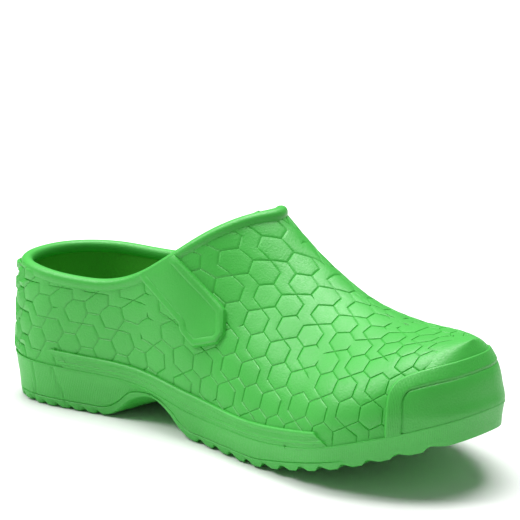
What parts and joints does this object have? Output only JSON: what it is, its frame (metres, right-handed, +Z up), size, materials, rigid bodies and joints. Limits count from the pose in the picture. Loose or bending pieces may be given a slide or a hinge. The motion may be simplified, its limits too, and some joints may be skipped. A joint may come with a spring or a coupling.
{
  "type": "garden clog",
  "caption": "Slip-on moulded foam-rubber garden clog for the right foot, with a raised heel, a toothed sole, a toe guard and a loose footbed that lifts at the heel.",
  "frame": {"origin": "on the floor, under the middle of the clog's box", "axes": "+X to the toe, +Y to the inner side of the foot, +Z up"},
  "size_m": [0.28, 0.1158, 0.1145],
  "materials": {
    "clog_foam": "satin moulded foam rubber",
    "footbed_foam": "matt foam rubber with fine ribs"
  },
  "bodies": {
    "clog": {"outsole": "clog_foam", "rand_band": "clog_foam", "upper_shell": "clog_foam", "collar_bead": "clog_foam", "side_tab_outer": "clog_foam", "side_tab_inner": "clog_foam", "toe_bumper": "clog_foam", "insole_forefoot": "footbed_foam"},
    "footbed_heel": {"insole_heel": "footbed_foam"}
  },
  "joints": [
    {"name": "insole_lift", "type": "hinge", "parent": "clog", "child": "footbed_heel", "pos_m": [0.01245, 0, 0.0306], "axis": [0, 1, 0], "range_deg": [0, 15]}
  ]
}
